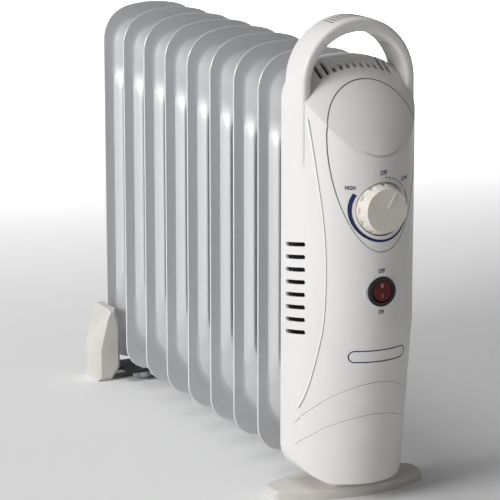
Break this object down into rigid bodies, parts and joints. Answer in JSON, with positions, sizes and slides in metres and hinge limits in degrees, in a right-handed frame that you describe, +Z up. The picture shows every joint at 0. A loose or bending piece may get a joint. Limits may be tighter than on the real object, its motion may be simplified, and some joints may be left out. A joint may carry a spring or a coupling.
{
  "type": "oil filled radiator heater",
  "caption": "Oil filled electric radiator heater with pressed steel ribs, a front cover with carry handle, a thermostat knob, a rocker switch and fixed feet.",
  "frame": {"origin": "centre of the bounding box on the floor", "axes": "+Z up, -Y towards the control panel, +X to the right of a person facing the panel"},
  "size_m": [0.134, 0.4654, 0.38],
  "materials": {
    "rib_enamel": "silver grey gloss enamel",
    "cover_white": "satin white moulded plastic",
    "foot_plastic": "satin off-white moulded plastic",
    "knob_plastic": "satin off-white moulded plastic",
    "switch_black": "black moulded plastic",
    "switch_red": "dark red moulded plastic",
    "thermostat_plastic": "dark moulded plastic",
    "block_plastic": "natural moulded plastic",
    "gland_black": "black moulded plastic",
    "bar_paint": "dark paint",
    "zinc_steel": "bright zinc plate",
    "brass": "plain brass"
  },
  "bodies": {
    "heater": {"bottom_header_joints": "rib_enamel", "control_fascia": "cover_white", "cord_gland": "gland_black", "cover_screws": "zinc_steel", "cutout_clip": "zinc_steel", "earth_screw": "zinc_steel", "element_flange": "zinc_steel", "element_terminals": "brass", "filler_plug": "zinc_steel", "front_cover": "cover_white", "front_foot": "foot_plastic", "front_foot_screws": "zinc_steel", "heating_element": "zinc_steel", "mounting_nuts": "zinc_steel", "mounting_plate": "zinc_steel", "mounting_studs": "zinc_steel", "rear_foot_bar": "bar_paint", "rear_foot_left": "foot_plastic", "rear_foot_right": "foot_plastic", "rear_foot_screws": "zinc_steel", "rear_u_bolt": "zinc_steel", "rib_1_back_sheet": "rib_enamel", "rib_1_front_sheet": "rib_enamel", "rib_2_back_sheet": "rib_enamel", "rib_2_front_sheet": "rib_enamel", "rib_3_back_sheet": "rib_enamel", "rib_3_front_sheet": "rib_enamel", "rib_4_back_sheet": "rib_enamel", "rib_4_front_sheet": "rib_enamel", "rib_5_back_sheet": "rib_enamel", "rib_5_front_sheet": "rib_enamel", "rib_6_back_sheet": "rib_enamel", "rib_6_front_sheet": "rib_enamel", "rib_7_back_sheet": "rib_enamel", "rib_7_front_sheet": "rib_enamel", "rib_8_back_sheet": "rib_enamel", "rib_8_front_sheet": "rib_enamel", "rib_9_back_sheet": "rib_enamel", "rib_9_front_sheet": "rib_enamel", "switch_housing": "switch_black", "switch_terminals": "brass", "terminal_block": "block_plastic", "terminal_screws": "brass", "thermal_cutout": "thermostat_plastic", "thermostat_body": "thermostat_plastic", "thermostat_bush": "brass", "thermostat_nut": "zinc_steel", "thermostat_terminals": "brass", "top_header_joints": "rib_enamel", "wing_nuts": "zinc_steel"},
    "knob": {"thermostat_knob": "knob_plastic", "thermostat_spindle": "zinc_steel"},
    "rocker": {"switch_rocker": "switch_red"}
  },
  "joints": [
    {"name": "thermostat_turn", "type": "hinge", "parent": "heater", "child": "knob", "pos_m": [0, -0.2255, 0.2385], "axis": [0, 1, 0], "range_deg": [-30, 270]},
    {"name": "switch_rock", "type": "hinge", "parent": "heater", "child": "rocker", "pos_m": [0, -0.22125, 0.174], "axis": [1, 0, 0], "range_deg": [0, 16]}
  ]
}
